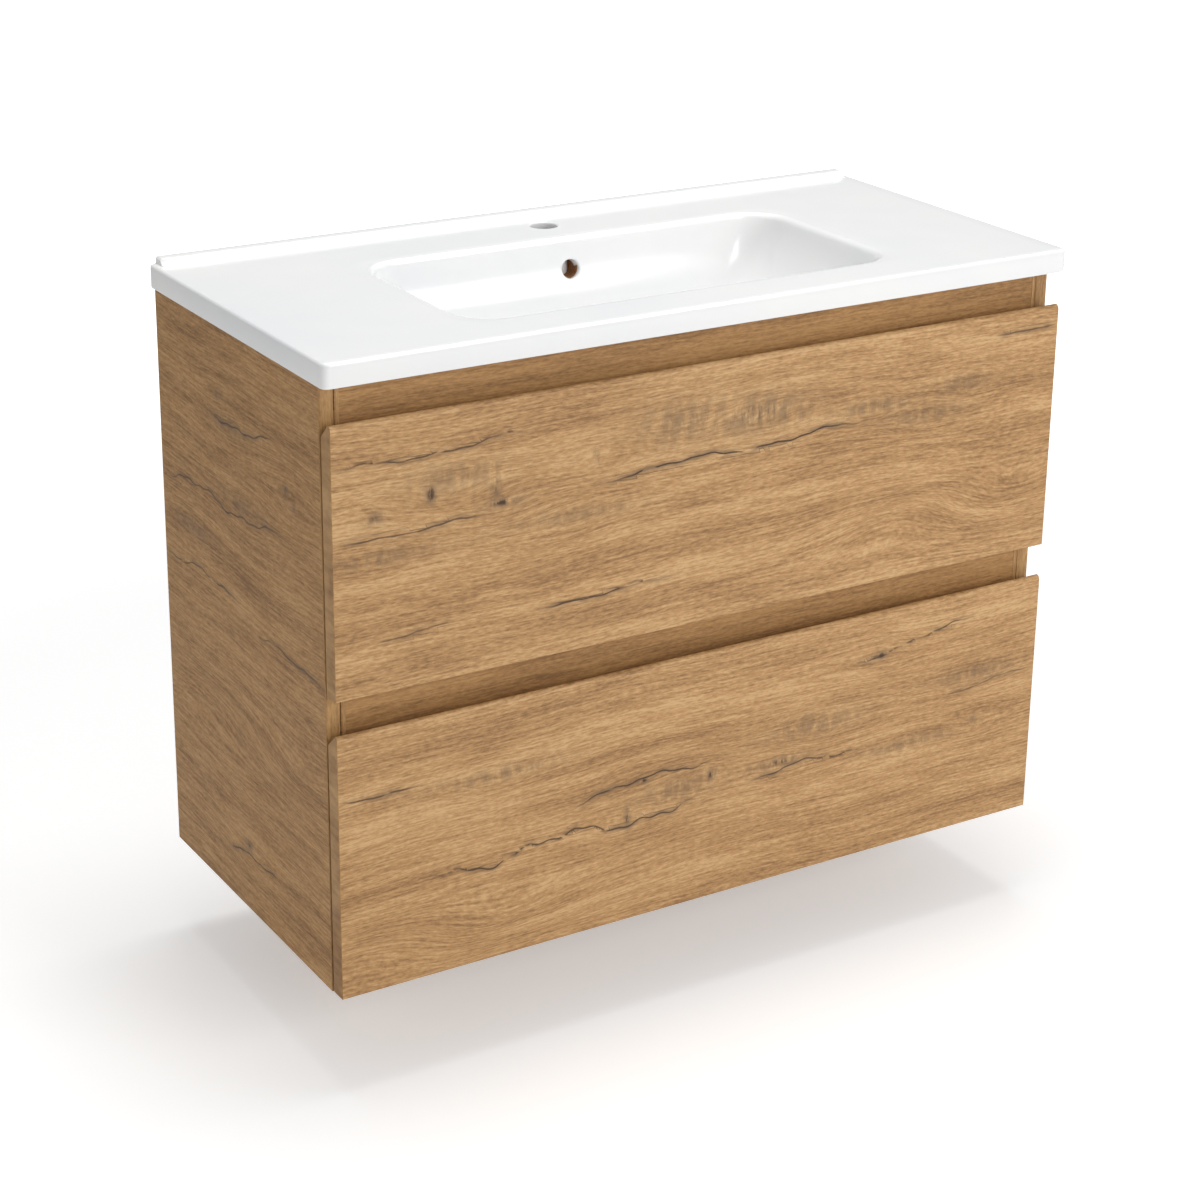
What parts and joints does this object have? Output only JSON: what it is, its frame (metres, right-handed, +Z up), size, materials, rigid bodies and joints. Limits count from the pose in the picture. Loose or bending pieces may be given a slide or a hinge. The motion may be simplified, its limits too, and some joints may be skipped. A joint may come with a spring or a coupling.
{
  "type": "washbasin vanity unit",
  "caption": "Wall-hung washbasin unit: a white one-piece ceramic basin slab on an oak carcass with full-width handleless drawers on telescopic runners.",
  "frame": {"origin": "on the wall plane, midway between the four screw holes of the two wall plates, 675 mm above the underside of the carcass", "axes": "+X to the right as seen from the front, +Y into the wall, +Z up; the drawers open towards -Y"},
  "size_m": [1.014, 0.475, 0.767],
  "materials": {
    "oak_front": "satin",
    "oak_side": "satin",
    "oak_panel": "satin",
    "drawer_board": "satin",
    "glazed_ceramic": "gloss",
    "zinc_steel": "satin",
    "beech_dowel": "matte",
    "clear_rubber": "satin"
  },
  "bodies": {
    "cabinet": {"side_panel_left": "oak_side", "side_panel_right": "oak_side", "bottom_panel": "oak_panel", "top_grip_rail": "oak_panel", "middle_grip_rail": "oak_panel", "rear_top_rail": "oak_panel", "rear_bottom_rail": "oak_panel", "panel_dowels": "beech_dowel", "wall_plate_left": "zinc_steel", "wall_plate_right": "zinc_steel", "hanger_left": "zinc_steel", "hanger_right": "zinc_steel", "hanger_screws": "zinc_steel", "basin": "glazed_ceramic", "rail_upper_left": "zinc_steel", "rail_upper_right": "zinc_steel", "rail_lower_left": "zinc_steel", "rail_lower_right": "zinc_steel", "rail_screws": "zinc_steel"},
    "upper_drawer": {"upper_front": "oak_front", "upper_side_left": "drawer_board", "upper_side_right": "drawer_board", "upper_bottom": "drawer_board", "upper_back_left": "drawer_board", "upper_back_right": "drawer_board", "trap_wall_left": "drawer_board", "trap_wall_right": "drawer_board", "trap_wall_front": "drawer_board", "upper_brackets": "zinc_steel", "upper_front_screws": "zinc_steel", "upper_stops": "clear_rubber", "carrier_upper_left": "zinc_steel", "carrier_upper_right": "zinc_steel"},
    "lower_drawer": {"lower_front": "oak_front", "lower_side_left": "drawer_board", "lower_side_right": "drawer_board", "lower_bottom": "drawer_board", "lower_back": "drawer_board", "lower_brackets": "zinc_steel", "lower_front_screws": "zinc_steel", "lower_stops": "clear_rubber", "carrier_lower_left": "zinc_steel", "carrier_lower_right": "zinc_steel"},
    "upper_left_slide": {"slide_upper_left": "zinc_steel"},
    "upper_right_slide": {"slide_upper_right": "zinc_steel"},
    "lower_left_slide": {"slide_lower_left": "zinc_steel"},
    "lower_right_slide": {"slide_lower_right": "zinc_steel"}
  },
  "joints": [
    {"name": "upper_drawer_slide", "type": "slide", "parent": "cabinet", "child": "upper_drawer", "axis": [0, -1, 0], "range_m": [0, 0.38]},
    {"name": "lower_drawer_slide", "type": "slide", "parent": "cabinet", "child": "lower_drawer", "axis": [0, -1, 0], "range_m": [0, 0.38]},
    {"name": "upper_left_runner", "type": "slide", "parent": "cabinet", "child": "upper_left_slide", "axis": [0, -1, 0], "range_m": [0, 0.19]},
    {"name": "upper_right_runner", "type": "slide", "parent": "cabinet", "child": "upper_right_slide", "axis": [0, -1, 0], "range_m": [0, 0.19]},
    {"name": "lower_left_runner", "type": "slide", "parent": "cabinet", "child": "lower_left_slide", "axis": [0, -1, 0], "range_m": [0, 0.19]},
    {"name": "lower_right_runner", "type": "slide", "parent": "cabinet", "child": "lower_right_slide", "axis": [0, -1, 0], "range_m": [0, 0.19]}
  ],
  "couplings": [
    {"joint": "upper_left_runner", "follows": "upper_drawer_slide", "ratio": 0.5},
    {"joint": "upper_right_runner", "follows": "upper_drawer_slide", "ratio": 0.5},
    {"joint": "lower_left_runner", "follows": "lower_drawer_slide", "ratio": 0.5},
    {"joint": "lower_right_runner", "follows": "lower_drawer_slide", "ratio": 0.5}
  ]
}
